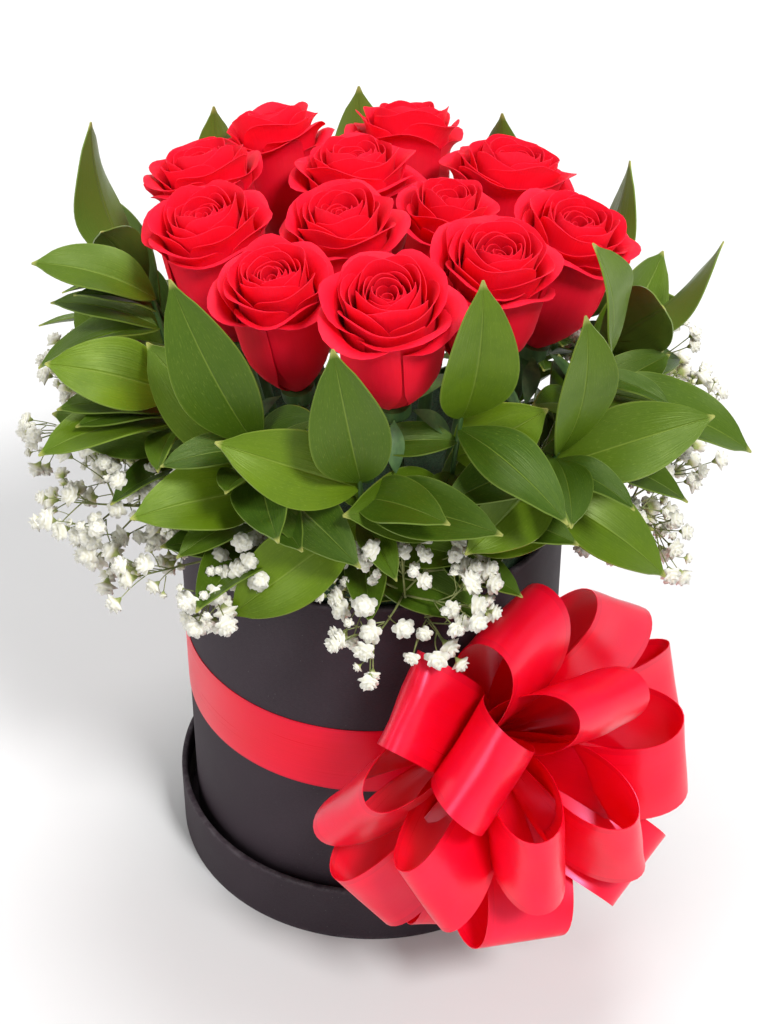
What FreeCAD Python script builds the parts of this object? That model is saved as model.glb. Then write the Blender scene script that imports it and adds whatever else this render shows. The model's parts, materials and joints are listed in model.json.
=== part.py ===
import FreeCAD, Part
import math
import os
import Sketcher

# A round hat box of red roses: the box stands in its own upturned lid, wears a ribbon band
# with a pull bow, and holds soaked foam with twelve roses, ruscus leaves and gypsophila.
# Bearings are degrees from the front (-Y), positive to the right (+X).

Vector = FreeCAD.Vector

DRIVING_SIZES = {
    "box_diameter": 156,
    "box_height": 175,
    "board": 1.8,
    "paper": 0.3,
    "glue_film": 0.1,
    "base_thickness": 2,
    "turn_in": 15,
    "lid_gap": 4,
    "lid_height": 28.5,
    "lid_turn_in": 12,
    "ribbon_width": 33,
    "ribbon_thickness": 0.4,
    "band_height": 98,
    "liner_thickness": 0.6,
    "liner_clearance": 0.4,
    "liner_drop": 4,
    "foam_clearance": 0.3,
    "foam_rise": 8,
    "socket_clearance": 0.2,
    "bloom_diameter": 56,
    "bloom_height": 60,
    "bloom_rise": 130,
    "rose_stem_diameter": 5.5,
    "rose_stem_depth": 55,
    "hip_diameter": 12.5,
    "hip_height": 10,
    "sepal_length": 19,
    "sepal_width": 7,
    "sprig_stem_diameter": 2.2,
    "sprig_stem_depth": 36,
    "sprig_inset": 7,
    "leaf_length": 66,
    "leaf_width": 32,
    "leaf_thickness": 0.9,
    "seat_gap": 0.3,
    "mist_stem_diameter": 1.8,
    "mist_stem_depth": 30,
    "mist_inset": 4.5,
    "twig_diameter": 0.9,
    "twig_length": 26,
    "floret_diameter": 7.5,
    "floret_height": 5.5,
    "bow_bearing": 30,
    "bow_rise": 12,
    "bow_standoff": 11,
    "loop_length": 80,
    "loop_bulge": 26,
    "loop_taper": 16,
    "tie_diameter": 13,
    "tail_length": 92,
}

# Face centre of each rose in bloom diameters from the box axis and a step above the bloom
# rise, then where its stem enters the foam, as shares of the foam radius, then its size
ROSES = (
    (-0.75, 1.63, -10, -0.28, 0.72, 0.85),
    (0.27, 1.82, -13, 0.12, 0.78, 0.93),
    (-1.20, 0.82, -3, -0.52, 0.33, 0.89),
    (-0.11, 0.93, -5, -0.02, 0.44, 0.93),
    (1.02, 1.07, -10, 0.48, 0.48, 1.00),
    (-1.11, -0.12, 3, -0.50, -0.02, 0.93),
    (-0.20, -0.23, 8, -0.02, -0.10, 0.84),
    (0.54, 0.29, -4, 0.26, 0.14, 0.75),
    (1.39, -0.18, 2, 0.60, -0.08, 0.89),
    (0.82, -0.89, 13, 0.36, -0.40, 0.88),
    (-0.62, -1.04, 9, -0.22, -0.44, 0.80),
    (0.11, -1.54, 19, 0.16, -0.68, 0.88),
)
DOME_SHARE = 1.393

# Rings of petals from the outside in: count, share of the radius, share of the height, turn
PETAL_RINGS = (
    (5, 1.00, 0.90, 0),
    (5, 0.84, 0.98, 36),
    (4, 0.70, 1.00, 20),
    (3, 0.56, 0.97, 65),
)
# Stations up a petal: share of its height, share of its radius, half width as a share of
# the ring's pitch
PETAL_STATIONS = (
    (0.00, 0.20, 0.39),
    (0.22, 0.62, 0.58),
    (0.55, 0.83, 0.64),
    (0.84, 0.91, 0.60),
    (1.00, 1.00, 0.40),
)
ROSE_TURN = 17
PETAL_LEAN = 0.04
PETAL_BODY = 0.03
BUD_STATIONS = ((0.00, 0.08), (0.25, 0.26), (0.60, 0.35), (0.86, 0.27), (0.95, 0.10))

# Ruscus sprigs: bearing, reach past the shoulder of the dome, tip above the rim, and the
# leaves as share along the stem, heading, pitch, share of the leaf length
SPRIGS = (
    (-29, 6, 74, ((1.00, -91, 69, 1.10), (0.80, -125, 35, 0.90), (0.60, -62, 8, 0.80))),
    (-2, 15, 72, ((1.00, -30, 76, 1.00), (0.90, -78, 30, 0.85), (0.60, -76, -36, 0.90))),
    (22, 8, 90, ((1.00, 15, 73, 1.08), (0.72, 80, 40, 0.60), (0.45, -48, 22, 0.80),
                 (0.30, 80, 8, 0.70))),
    (45, 18, 66, ((1.00, 20, 77, 1.05), (0.84, -36, -8, 0.78), (0.80, 98, 17, 0.95),
                  (0.62, 75, -32, 0.90))),
    (62, 16, 86, ((1.00, -20, 72, 1.03), (0.86, 87, -22, 1.00))),
    (90, 12, 70, ((1.00, 90, 46, 0.90), (0.88, 28, 48, 0.85), (0.72, 140, 36, 0.85))),
    (122, 12, 52, ((1.00, 130, 58, 1.00), (0.75, 76, 24, 0.90), (0.50, 168, 5, 0.90))),
    (152, 14, 50, ((1.00, 158, 66, 1.00), (0.70, 115, 14, 0.90), (0.50, 198, 5, 0.90))),
    (182, 22, 48, ((1.00, 184, 60, 1.05), (0.72, 138, 24, 0.85), (0.50, 232, 5, 0.90))),
    (-148, 18, 50, ((1.00, -150, 66, 1.05), (0.72, 165, 24, 0.85), (0.50, -108, 8, 0.90))),
    (-115, 24, 72, ((1.00, -112, 76, 1.00), (0.76, -150, 26, 0.90), (0.58, -88, 8, 0.80))),
    (-86, 4, 92, ((1.00, -92, 18, 0.70), (0.84, -78, -14, 0.72), (0.60, -130, 8, 0.80))),
    (-60, 6, 74, ((1.00, -84, 20, 0.72), (0.80, -66, 0, 0.82), (0.62, -102, 6, 0.80))),
)
# Stations along a leaf: share of its length, share of its width
LEAF_STATIONS = (
    (0.00, 0.04),
    (0.14, 0.42),
    (0.34, 0.92),
    (0.52, 1.00),
    (0.74, 0.74),
    (0.90, 0.36),
    (1.00, 0.03),
)
LEAF_ARCH = 0.10
LEAF_CUP = 0.10
TIP_SHARE = 0.35
SINE_SHARE = 0.4
SEPAL_TURNS = (0, 72, 144, 216, 288)
SEPAL_PITCH = -38
SEPAL_SHARE = 0.25
HIP_SHARE = 0.5

# Gypsophila: bearing, reach past the wall, tip above the rim, and which side its twigs lead
MIST_SPRIGS = (
    (-68, 28, 20, 1),
    (-98, 36, 26, -1),
    (-40, 18, 20, 1),
    (8, 15, 18, 1),
    (70, 30, 20, 1),
    (102, 38, 30, -1),
)
# Twigs: share along the stem, turn from the bearing, pitch, share of the twig length
TWIGS = (
    (0.50, 80, 18, 0.90),
    (0.58, -60, 8, 0.85),
    (0.66, 30, -18, 0.90),
    (0.73, -100, 35, 0.80),
    (0.80, 95, 45, 0.90),
    (0.86, -35, -5, 1.00),
    (0.92, 50, 15, 1.00),
    (0.97, -20, 75, 0.90),
)
# Outline of a floret above its twig: share of the radius, share of the height
FLORET_STATIONS = ((0.26, 0.00), (0.62, 0.35), (1.00, 0.68), (0.60, 1.00))

# Bow loops: clock angle seen from outside (0 is up), lean away from the outward axis
BOW_LOOPS = {
    "bow_loops_outer": ((0, 76), (40, 76), (80, 76), (120, 76), (160, 76), (200, 76), (240, 76),
                        (280, 76), (320, 76)),
    "bow_loops_middle": ((20, 45), (80, 45), (140, 45), (200, 45), (260, 45), (320, 45)),
    "bow_loops_inner": ((100, 14), (280, 14)),
}
# Bow tails: clock angle, lean, share of the tail length
BOW_TAILS = ((155, 92, 1.00), (205, 94, 0.75))
NECK_SHARE = 0.6
QUARTER_TURN = 90


class Span:
    """A length held as a number together with the sheet expression that drives it."""

    def __init__(self, text, value):
        self.text = text
        self.value = value

    def __add__(self, other):
        return Span(self.text + " + " + other.text, self.value + other.value)

    def __sub__(self, other):
        return Span(self.text + " - (" + other.text + ")", self.value - other.value)

    def __mul__(self, factor):
        return Span("(" + self.text + ") * " + str(factor), self.value * factor)


document = FreeCAD.newDocument("FlowerBox")
sheet = document.addObject("Spreadsheet::Sheet", "Sizes")
for row, (alias, number) in enumerate(DRIVING_SIZES.items(), start=1):
    sheet.set("A%d" % row, alias)
    sheet.set("B%d" % row, str(number))
    sheet.setAlias("B%d" % row, alias)
document.recompute()


def size(alias):
    return float(sheet.get(alias))


def cell(alias):
    return Span("Sizes." + alias, size(alias))


ZERO = Span("0", 0.0)

# Radii from the outside of the box inwards
wall_radius = cell("box_diameter") * 0.5
tube_outer = wall_radius - cell("paper") - cell("glue_film")
tube_inner = tube_outer - cell("board")
mouth_radius = tube_inner - cell("glue_film") - cell("paper")
liner_outer = mouth_radius - cell("liner_clearance")
liner_inner = liner_outer - cell("liner_thickness")
foam_radius = liner_inner - cell("foam_clearance")

# Radii of the lid, from the shadow gap outwards
lid_mouth = wall_radius + cell("lid_gap")
hoop_inner = lid_mouth + cell("paper") + cell("glue_film")
hoop_outer = hoop_inner + cell("board")
lid_outer = hoop_outer + cell("glue_film") + cell("paper")

# Heights of the flat seats
box_floor = cell("paper") + cell("base_thickness")
liner_floor = box_floor + cell("base_thickness")
foam_floor = liner_floor + cell("liner_thickness")
rim_height = box_floor + cell("box_height")
foam_top = rim_height + cell("foam_rise")

sub_parts = []


def keep(item, label):
    item.Label = label
    sub_parts.append(item)
    return item


def origin_plane(body, role):
    return next(item for item in body.Origin.OriginFeatures if item.Role == role)


def hold(sketch, kind, corner, span):
    """Ties one corner of an outline to the axis or to a driven distance."""
    across = kind == "DistanceX"
    if span.value == 0:
        sketch.addConstraint(Sketcher.Constraint("PointOnObject", corner, 1, -2 if across else -1))
        return
    index = sketch.addConstraint(Sketcher.Constraint(kind, -1, 1, corner, 1, span.value))
    sketch.setExpression("Constraints[%d]" % index, span.text)


def turned(label, outline, base):
    """A body turned about the upright axis from (radius, height) corners, standing at base."""
    body = document.addObject("PartDesign::Body", label)
    sketch = body.newObject("Sketcher::SketchObject", label + "_outline")
    sketch.AttachmentSupport = (origin_plane(body, "XZ_Plane"), [""])
    sketch.MapMode = "FlatFace"
    corners = [Vector(radius.value, height.value, 0) for radius, height in outline]
    count = len(corners)
    for index in range(count):
        sketch.addGeometry(Part.LineSegment(corners[index], corners[(index + 1) % count]))
    for index in range(count):
        sketch.addConstraint(Sketcher.Constraint("Coincident", index, 2, (index + 1) % count, 1))
    for index, (radius, height) in enumerate(outline):
        hold(sketch, "DistanceX", index, radius)
        hold(sketch, "DistanceY", index, height)
    turn = body.newObject("PartDesign::Revolution", label + "_turn")
    turn.Profile = sketch
    turn.ReferenceAxis = (sketch, ["V_Axis"])
    turn.Angle = 360
    if base.value:
        body.setExpression("Placement.Base.z", base.text)
    return keep(body, label)


def disc(label, radius, thickness, base):
    return turned(label, ((ZERO, ZERO), (radius, ZERO), (radius, thickness), (ZERO, thickness)), base)


def ring(label, inner, outer, height, base):
    return turned(label, ((inner, ZERO), (outer, ZERO), (outer, height), (inner, height)), base)


def wrap(label, outer, inner, height, fold, base):
    """Paper skin up the outside of a wall, over its rim and down inside by the fold."""
    paper = cell("paper")
    outline = (
        (outer, ZERO),
        (outer, height),
        (inner, height),
        (inner, height - fold),
        (inner + paper, height - fold),
        (inner + paper, height - paper),
        (outer - paper, height - paper),
        (outer - paper, ZERO),
    )
    return turned(label, outline, base)


def solid_group(label, solids, placement=None):
    """A free-form sub-part: one or more separate solids under one label."""
    item = document.addObject("Part::Feature", label)
    item.Shape = Part.makeCompound(solids) if len(solids) > 1 else solids[0]
    if placement is not None:
        item.Placement = placement
    return keep(item, label)


def heading_vector(bearing, pitch):
    level = math.cos(math.radians(pitch))
    turn = math.radians(bearing)
    return Vector(level * math.sin(turn), -level * math.cos(turn), math.sin(math.radians(pitch)))


def ring_point(bearing, radius, height):
    spot = heading_vector(bearing, 0) * radius
    return Vector(spot.x, spot.y, height)


def axes_at(origin, along, side):
    """Placement at origin whose Z runs along and whose X leans towards side."""
    return FreeCAD.Placement(origin, FreeCAD.Rotation(side, Vector(0, 0, 0), along, "ZXY"))


def lens(left, upper, right, lower):
    """Closed section of two arcs that meet in sharp edges."""
    top = Part.Arc(left, upper, right).toShape()
    bottom = Part.Arc(right, lower, left).toShape()
    return Part.Wire([top, bottom])


def leaf(base, along, face, length, width, thickness):
    """A pointed leaf on an arched midrib, cupped along its length."""
    along = Vector(along).normalize()
    across = along.cross(face).normalize()
    normal = across.cross(along).normalize()
    sections = []
    for share, breadth in LEAF_STATIONS:
        rise = 4 * LEAF_ARCH * length * share * (1 - share)
        centre = base + along * (length * share) + normal * rise
        half = width * breadth / 2
        body = thickness * (TIP_SHARE + (1 - TIP_SHARE) * breadth) / 2
        edge = normal * (2 * LEAF_CUP * half)
        sections.append(lens(centre - across * half + edge, centre + normal * body,
                             centre + across * half + edge, centre - normal * body))
    return Part.makeLoft(sections, True, False)


def rod(start, end, diameter):
    return Part.makeCylinder(diameter / 2, (end - start).Length, start, end - start)


def spun(points):
    """A solid turned about its own Z axis from a closed outline."""
    return Part.Face(Part.makePolygon(points + points[:1])).revolve(Vector(0, 0, 0), Vector(0, 0, 1), 360)


def clear_of_stem(diameter, breadth, pointing, along):
    """How far out a branch of that breadth starts so that it seats on its stem without cutting it."""
    slant = abs(pointing.dot(along))
    sine = max(pointing.cross(along).Length, SINE_SHARE)
    return (diameter / 2 + size("seat_gap") + slant * breadth / 2) / sine


# Lid, upturned as a tray

disc("lid_face", lid_outer - cell("paper") - cell("glue_film"), cell("paper"), ZERO)
disc("lid_disc", hoop_outer, cell("base_thickness"), cell("paper"))
ring("lid_hoop", hoop_inner, hoop_outer, cell("lid_height") - box_floor - cell("paper"), box_floor)
wrap("lid_wrap", lid_outer, lid_mouth, cell("lid_height"), cell("lid_turn_in"), ZERO)

# Box, its paper skin and its ribbon band

ring("box_tube", tube_inner, tube_outer, cell("box_height") - cell("paper"), box_floor)
disc("box_base", tube_inner - cell("glue_film"), cell("base_thickness"), box_floor)
wrap("box_wrap", wall_radius, mouth_radius, cell("box_height"), cell("turn_in"), box_floor)
band_inner = wall_radius + cell("glue_film")
band_outer = band_inner + cell("ribbon_thickness")
band_foot = cell("band_height") - cell("ribbon_width") * 0.5
ring("ribbon_band", band_inner, band_outer, cell("ribbon_width"), band_foot)

# Plastic liner that keeps the wet foam off the board

liner_height = rim_height - cell("liner_drop") - liner_floor
turned("plastic_liner", (
    (ZERO, ZERO),
    (liner_outer, ZERO),
    (liner_outer, liner_height),
    (liner_inner, liner_height),
    (liner_inner, cell("liner_thickness")),
    (ZERO, cell("liner_thickness")),
), liner_floor)

# Stems are gathered here so that the foam gets a socket for each one

sockets = []


def planted_stem(foot, along, depth, reach, diameter):
    """A straight stem from its socket floor to its top, and the socket around it."""
    floor = foot - along * depth
    top = foot + along * reach
    room = 2 * size("socket_clearance")
    sockets.append(rod(floor, top, diameter + room))
    return floor, top


# Roses

bloom_radius = size("bloom_diameter") / 2
shoulder = max(wall_radius.value, DOME_SHARE * size("bloom_diameter"))


class Rose:
    """Where one rose stands: its face centre, its foot in the foam, its axis and its radius."""

    def __init__(self, face_x, face_y, step, foot_x, foot_y, share):
        self.face = Vector(face_x * size("bloom_diameter"), face_y * size("bloom_diameter"),
                           rim_height.value + size("bloom_rise") + step)
        self.foot = Vector(foot_x * foam_radius.value, foot_y * foam_radius.value, foam_top.value)
        self.axis = (self.face - self.foot).normalize()
        self.seat = self.face - self.axis * size("bloom_height")
        self.radius = bloom_radius * share
        self.placement = axes_at(self.seat, self.axis, Vector(0, 1, 0).cross(self.axis))


def petal(rose, ring_share, height_share, middle, pitch):
    """One petal of a ring, leaning so that its leading edge covers the next petal."""
    sections = []
    for station_height, station_radius, half_width in PETAL_STATIONS:
        height = size("bloom_height") * height_share * station_height
        radius = rose.radius * ring_share * station_radius
        body = PETAL_BODY * radius / 2

        def at(side, extra):
            turn = middle + side * half_width * pitch
            reach = radius * (1 + side * PETAL_LEAN) + extra
            return Vector(reach * math.cos(turn), reach * math.sin(turn), height)

        sections.append(lens(at(-1, 0), at(0, body), at(1, 0), at(0, -body)))
    return Part.makeLoft(sections, True, False)


def bud(rose):
    """The furled heart of the bloom."""
    outline = []
    for height, radius in BUD_STATIONS:
        outline.append(Vector(rose.radius * radius, 0, size("bloom_height") * height))
    return spun([Vector(0, 0, 0)] + outline + [Vector(0, 0, outline[-1].z)])


def rose_stem(rose):
    """Stem and hip turned in one piece, with the sepals seated on the hip."""
    reach = (rose.seat - rose.foot).Length
    planted_stem(rose.foot, rose.axis, size("rose_stem_depth"), reach, size("rose_stem_diameter"))
    tip = -reach - size("rose_stem_depth")
    stem_radius = size("rose_stem_diameter") / 2
    hip_radius = size("hip_diameter") / 2
    hip_height = size("hip_height")
    points = [
        Vector(0, 0, tip),
        Vector(stem_radius, 0, tip),
        Vector(stem_radius, 0, -hip_height),
        Vector(hip_radius, 0, -hip_height * HIP_SHARE),
        Vector(hip_radius, 0, 0),
        Vector(0, 0, 0),
    ]
    solids = [spun(points)]
    for turn in SEPAL_TURNS:
        out = heading_vector(turn, 0)
        start = out * (hip_radius + size("seat_gap")) + Vector(0, 0, -hip_height * SEPAL_SHARE)
        solids.append(leaf(start, heading_vector(turn, SEPAL_PITCH), out + Vector(0, 0, 1),
                           size("sepal_length"), size("sepal_width"), size("leaf_thickness")))
    return solids


for number, row in enumerate(ROSES, start=1):
    rose = Rose(*row)
    petals = [bud(rose)]
    for count, ring_share, height_share, turn in PETAL_RINGS:
        pitch = 2 * math.pi / count
        for index in range(count):
            middle = math.radians(turn + ROSE_TURN * number) + index * pitch
            petals.append(petal(rose, ring_share, height_share, middle, pitch))
    solid_group("rose_%02d_bloom" % number, petals, rose.placement)
    solid_group("rose_%02d_stem" % number, rose_stem(rose), rose.placement)

# Ruscus sprigs

leaf_foot = size("leaf_width") * LEAF_STATIONS[0][1]
for number, (bearing, reach, rise, leaves) in enumerate(SPRIGS, start=1):
    foot = ring_point(bearing, foam_radius.value - size("sprig_inset"), foam_top.value)
    tip = ring_point(bearing, shoulder + reach, rim_height.value + rise)
    along = (tip - foot).normalize()
    stem_size = size("sprig_stem_diameter")
    floor, top = planted_stem(foot, along, size("sprig_stem_depth"), (tip - foot).Length, stem_size)
    solids = [rod(floor, top, stem_size)]
    for share, heading, pitch, length in leaves:
        pointing = heading_vector(heading, pitch)
        clear = clear_of_stem(stem_size, leaf_foot, pointing, along) if share < 1 else size("seat_gap")
        start = foot + (tip - foot) * share + pointing * clear
        face = heading_vector(bearing, 0) + Vector(0, 0, 1)
        solids.append(leaf(start, pointing, face, size("leaf_length") * length, size("leaf_width"),
                           size("leaf_thickness")))
    solid_group("ruscus_%02d" % number, solids)

# Gypsophila sprigs


def floret(base, along):
    """One tiny double flower on the end of its twig."""
    radius = size("floret_diameter") / 2
    height = size("floret_height")
    points = [Vector(0, 0, 0)]
    for across, up in FLORET_STATIONS:
        points.append(Vector(radius * across, 0, height * up))
    flower = spun(points + [Vector(0, 0, height)])
    flower.Placement = axes_at(base, along, along.cross(Vector(0, 0, 1)))
    return flower


for number, (bearing, reach, rise, lead) in enumerate(MIST_SPRIGS, start=1):
    foot = ring_point(bearing, foam_radius.value - size("mist_inset"), foam_top.value)
    tip = ring_point(bearing, wall_radius.value + reach, rim_height.value + rise)
    along = (tip - foot).normalize()
    stem_size = size("mist_stem_diameter")
    floor, top = planted_stem(foot, along, size("mist_stem_depth"), (tip - foot).Length, stem_size)
    solids = [rod(floor, top, stem_size)]
    for share, turn, pitch, length in TWIGS:
        pointing = heading_vector(bearing + lead * turn, pitch)
        clear = clear_of_stem(stem_size, size("twig_diameter"), pointing, along)
        start = foot + (tip - foot) * share + pointing * clear
        end = start + pointing * (size("twig_length") * length)
        solids.append(rod(start, end, size("twig_diameter")))
        solids.append(floret(end, pointing))
    solid_group("gypsophila_%02d" % number, solids)

# Foam, two halves cut from one brick, with a socket for every stem

socket_group = document.addObject("Part::Feature", "stem_sockets")
socket_group.Shape = Part.makeCompound(sockets)


def foam_half(label, turn):
    half = document.addObject("Part::Cylinder", label + "_block")
    half.Angle = 180
    half.setExpression("Radius", foam_radius.text)
    half.setExpression("Height", (foam_top - foam_floor).text)
    half.Placement = FreeCAD.Placement(Vector(0, 0, 0), FreeCAD.Rotation(Vector(0, 0, 1), turn))
    half.setExpression("Placement.Base.z", foam_floor.text)
    cut = document.addObject("Part::Cut", label)
    cut.Base = half
    cut.Tool = socket_group
    return keep(cut, label)


foam_half("foam_left", 90)
foam_half("foam_right", 270)

# Pull bow on the band

bow_out = heading_vector(size("bow_bearing"), 0)
bow_right = Vector(0, 0, 1).cross(bow_out)
bow_height = size("band_height") + size("bow_rise")
bow_centre = ring_point(size("bow_bearing"), wall_radius.value + size("bow_standoff"), bow_height)
tie_radius = size("tie_diameter") / 2


def bow_heading(clock, lean):
    turn = math.radians(clock)
    flat = Vector(0, 0, 1) * math.cos(turn) + bow_right * math.sin(turn)
    tilt = math.radians(lean)
    return bow_out * math.cos(tilt) + flat * math.sin(tilt)


def bow_placement(clock, lean):
    """Frame of one loop: X out along the loop, Y across its bulge, Z across the ribbon."""
    along = bow_heading(clock, lean)
    bulge = bow_heading(clock, lean + QUARTER_TURN)
    return FreeCAD.Placement(bow_centre, FreeCAD.Rotation(along, bulge, Vector(0, 0, 0), "XYZ"))


def ribbon_wedge(length, depth):
    """Block that narrows the ribbon to its gathers at the tie."""
    half = size("ribbon_width") / 2
    slope = math.tan(math.radians(size("loop_taper")))
    full = half / slope
    points = [
        Vector(0, -depth, 0),
        Vector(full, -depth, half),
        Vector(length, -depth, half),
        Vector(length, -depth, -half),
        Vector(full, -depth, -half),
    ]
    return Part.Face(Part.makePolygon(points + points[:1])).extrude(Vector(0, 2 * depth, 0))


def loop_outline(start, inset):
    """One side of the ribbon in a loop: two straight legs and the round end."""
    radius = size("loop_bulge") / 2
    centre = size("loop_length") - radius
    angle = math.asin(radius / centre)
    round_end = radius - inset
    touch = Vector(centre - round_end * math.sin(angle), round_end * math.cos(angle), 0)
    slope = Vector(math.cos(angle), math.sin(angle), 0)
    root = touch - slope * ((touch.x - start) / slope.x)
    far_end = Vector(centre + round_end, 0, 0)
    return root, touch, far_end, Vector(touch.x, -touch.y, 0), Vector(root.x, -root.y, 0)


def bow_loop(clock, lean):
    start = tie_radius + size("seat_gap")
    outer = loop_outline(start, 0)
    inner = loop_outline(start, size("ribbon_thickness"))
    edges = [
        Part.LineSegment(outer[0], outer[1]).toShape(),
        Part.Arc(outer[1], outer[2], outer[3]).toShape(),
        Part.LineSegment(outer[3], outer[4]).toShape(),
        Part.LineSegment(outer[4], inner[4]).toShape(),
        Part.LineSegment(inner[4], inner[3]).toShape(),
        Part.Arc(inner[3], inner[2], inner[1]).toShape(),
        Part.LineSegment(inner[1], inner[0]).toShape(),
        Part.LineSegment(inner[0], outer[0]).toShape(),
    ]
    width = size("ribbon_width")
    strip = Part.Face(Part.Wire(edges)).extrude(Vector(0, 0, width))
    strip.translate(Vector(0, 0, -width / 2))
    loop = strip.common(ribbon_wedge(size("loop_length") + width, size("loop_bulge"))).Solids[0]
    loop.Placement = bow_placement(clock, lean)
    return loop


def bow_tail(clock, lean, share):
    """A flat ribbon end with a swallow-tail notch."""
    half = size("ribbon_width") / 2
    slope = math.tan(math.radians(size("loop_taper")))
    start = tie_radius + size("seat_gap")
    length = size("tail_length") * share
    points = [
        Vector(start, 0, start * slope),
        Vector(half / slope, 0, half),
        Vector(length, 0, half),
        Vector(length - half, 0, 0),
        Vector(length, 0, -half),
        Vector(half / slope, 0, -half),
        Vector(start, 0, -start * slope),
    ]
    tail = Part.Face(Part.makePolygon(points + points[:1])).extrude(Vector(0, size("ribbon_thickness"), 0))
    tail.Placement = bow_placement(clock, lean)
    return tail


for label, loops in BOW_LOOPS.items():
    solid_group(label, [bow_loop(*loop) for loop in loops])
solid_group("bow_tails", [bow_tail(*tail) for tail in BOW_TAILS])

# Tie: the gathered heart of the bow, reaching back to the band

tie_ball = Part.makeSphere(tie_radius, bow_centre)
tie_back = Part.makeCylinder(tie_radius * NECK_SHARE, size("bow_standoff"), bow_centre, bow_out * -1)
tie = tie_ball.fuse(tie_back)
band_clear = Part.makeCylinder(band_outer.value + size("glue_film"), rim_height.value)
solid_group("bow_tie", tie.cut(band_clear).Solids[:1])

# Check every object, then write one file for each sub-part

document.recompute()
for item in document.Objects:
    if "Invalid" in item.State or "Error" in item.State:
        raise RuntimeError("%s did not build: %s" % (item.Label, item.State))
for item in sub_parts:
    if item.Shape.isNull() or not item.Shape.isValid():
        raise RuntimeError("%s has no valid shape" % item.Label)

os.makedirs("parts", exist_ok=True)
for item in sub_parts:
    item.Shape.exportStep("parts/%s.step" % item.Label)
print("%d sub-parts, %d solids" % (len(sub_parts), sum(len(item.Shape.Solids) for item in sub_parts)))
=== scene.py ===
import json
import math
import random

import bpy
import numpy as np
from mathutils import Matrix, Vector


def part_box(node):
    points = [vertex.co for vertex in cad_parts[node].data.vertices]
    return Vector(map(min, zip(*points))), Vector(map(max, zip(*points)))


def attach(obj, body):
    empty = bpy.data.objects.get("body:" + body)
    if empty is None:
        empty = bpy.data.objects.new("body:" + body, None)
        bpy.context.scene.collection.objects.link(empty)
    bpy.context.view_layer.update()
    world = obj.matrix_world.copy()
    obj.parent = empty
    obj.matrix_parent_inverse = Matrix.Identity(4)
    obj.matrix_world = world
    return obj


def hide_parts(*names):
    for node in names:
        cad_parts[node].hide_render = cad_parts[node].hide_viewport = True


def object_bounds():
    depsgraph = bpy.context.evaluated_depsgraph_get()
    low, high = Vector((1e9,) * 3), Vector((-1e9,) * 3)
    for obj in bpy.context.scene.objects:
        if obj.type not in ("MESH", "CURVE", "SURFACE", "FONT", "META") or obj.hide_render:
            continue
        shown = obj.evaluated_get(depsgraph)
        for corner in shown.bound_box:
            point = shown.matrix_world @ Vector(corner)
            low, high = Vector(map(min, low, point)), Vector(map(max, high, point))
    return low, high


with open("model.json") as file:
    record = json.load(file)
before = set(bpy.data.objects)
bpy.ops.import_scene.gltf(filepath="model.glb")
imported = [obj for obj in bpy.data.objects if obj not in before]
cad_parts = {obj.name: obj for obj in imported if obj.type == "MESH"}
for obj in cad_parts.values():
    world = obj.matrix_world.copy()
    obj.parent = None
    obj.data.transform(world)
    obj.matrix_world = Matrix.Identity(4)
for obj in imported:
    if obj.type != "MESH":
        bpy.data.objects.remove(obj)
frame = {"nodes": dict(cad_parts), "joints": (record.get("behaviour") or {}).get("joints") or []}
cadLow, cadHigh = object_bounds()
nodes = frame["nodes"]
scene = bpy.context.scene
anyTurn = (0, 6.28)  # range of a random angle
print("frame loaded:", len(nodes), "nodes")


# node helpers
def feed(tree, node, inputs):  # links a socket, or sets a constant
    for key, value in inputs.items():
        if isinstance(value, bpy.types.NodeSocket):
            tree.links.new(value, node.inputs[key])
        else:
            node.inputs[key].default_value = value
    return node


def put(tree, kind, inputs=None, **settings):
    node = tree.nodes.new(kind)
    for key, value in settings.items():
        setattr(node, key, value)
    return feed(tree, node, inputs or {})


# camera, at the photograph's height and distance
cameraPlan = {
    "aim": (0.00515, 0.0, 0.1629), "distance": 0.8964, "elevation": 37.89, "lens": 77.34, "sensor": 36.0,
}

cameraData = bpy.data.cameras.new("photoCamera")
cameraData.lens = cameraPlan["lens"]
cameraData.sensor_width = cameraPlan["sensor"]
camera = bpy.data.objects.new("photoCamera", cameraData)
scene.collection.objects.link(camera)
tilt = math.radians(cameraPlan["elevation"])
backwards = Vector((0, -math.cos(tilt), math.sin(tilt)))
camera.location = Vector(cameraPlan["aim"]) + backwards * cameraPlan["distance"]
camera.rotation_euler = (-backwards).to_track_quat("-Z", "Y").to_euler()
scene.camera = camera

# soft studio light: a pale wall of light all round and three wide lamps far away
lightPlan = {
    "wall": 1.0,
    "ceiling": 0.36,
    "fade": (0.12, 0.42),  # heights between which the wall turns into ceiling
    "lamps": [  # name, direction it comes from, softness in degrees, strength
        ("keyLight", (0.8, -1.15, 1.7), 13, 2.9),
        ("fillLight", (-1.5, -0.9, 0.9), 28, 1.0),
        ("topLight", (0.1, 0.5, 1.7), 28, 2.0),
    ],
}

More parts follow.
